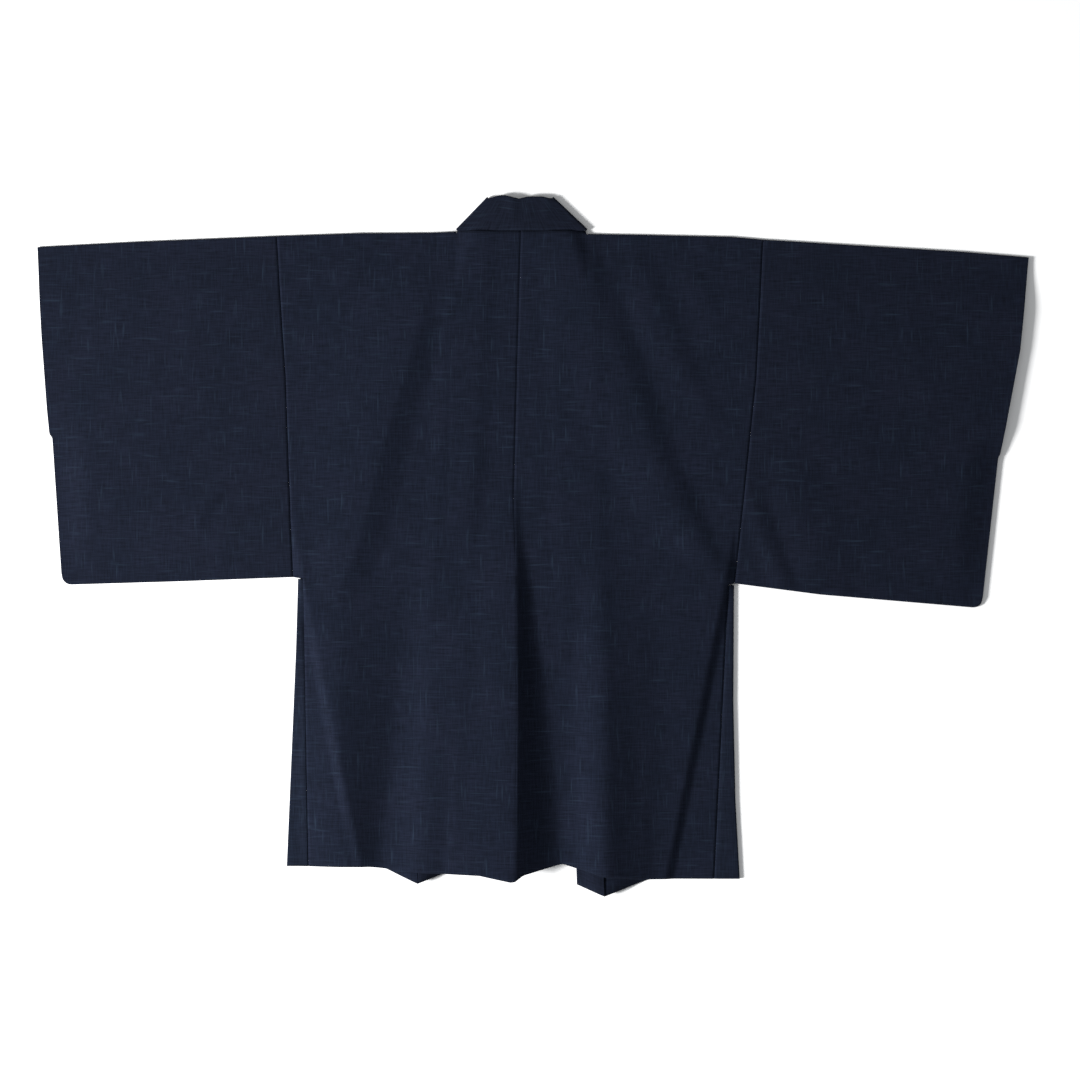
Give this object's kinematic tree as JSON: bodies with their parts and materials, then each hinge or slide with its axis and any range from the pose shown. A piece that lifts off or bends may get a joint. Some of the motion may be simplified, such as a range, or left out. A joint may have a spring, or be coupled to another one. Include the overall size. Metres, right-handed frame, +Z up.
{
  "type": "haori jacket laid flat",
  "caption": "Straight-cut haori jacket of slubbed plain-weave cloth, laid flat with its back up, wide square sleeves, side gussets and a band collar.",
  "frame": {"origin": "on the surface that the jacket lies on, under the middle of the laid jacket", "axes": "+X from the left sleeve to the right sleeve, +Y from the hem to the collar, +Z up from the surface"},
  "size_m": [1.3996, 0.9888, 0.0342],
  "materials": {
    "body_cloth": "matt slubbed plain weave, navy",
    "sleeve_cloth": "matt slubbed plain weave, navy",
    "gusset_cloth": "matt slubbed plain weave, navy",
    "collar_cloth": "matt slubbed plain weave folded double, navy"
  },
  "bodies": {
    "root": {"body_left": "body_cloth", "body_right": "body_cloth", "sleeve_left": "sleeve_cloth", "sleeve_right": "sleeve_cloth", "gusset_left": "gusset_cloth", "gusset_right": "gusset_cloth", "collar": "collar_cloth"}
  },
  "joints": []
}
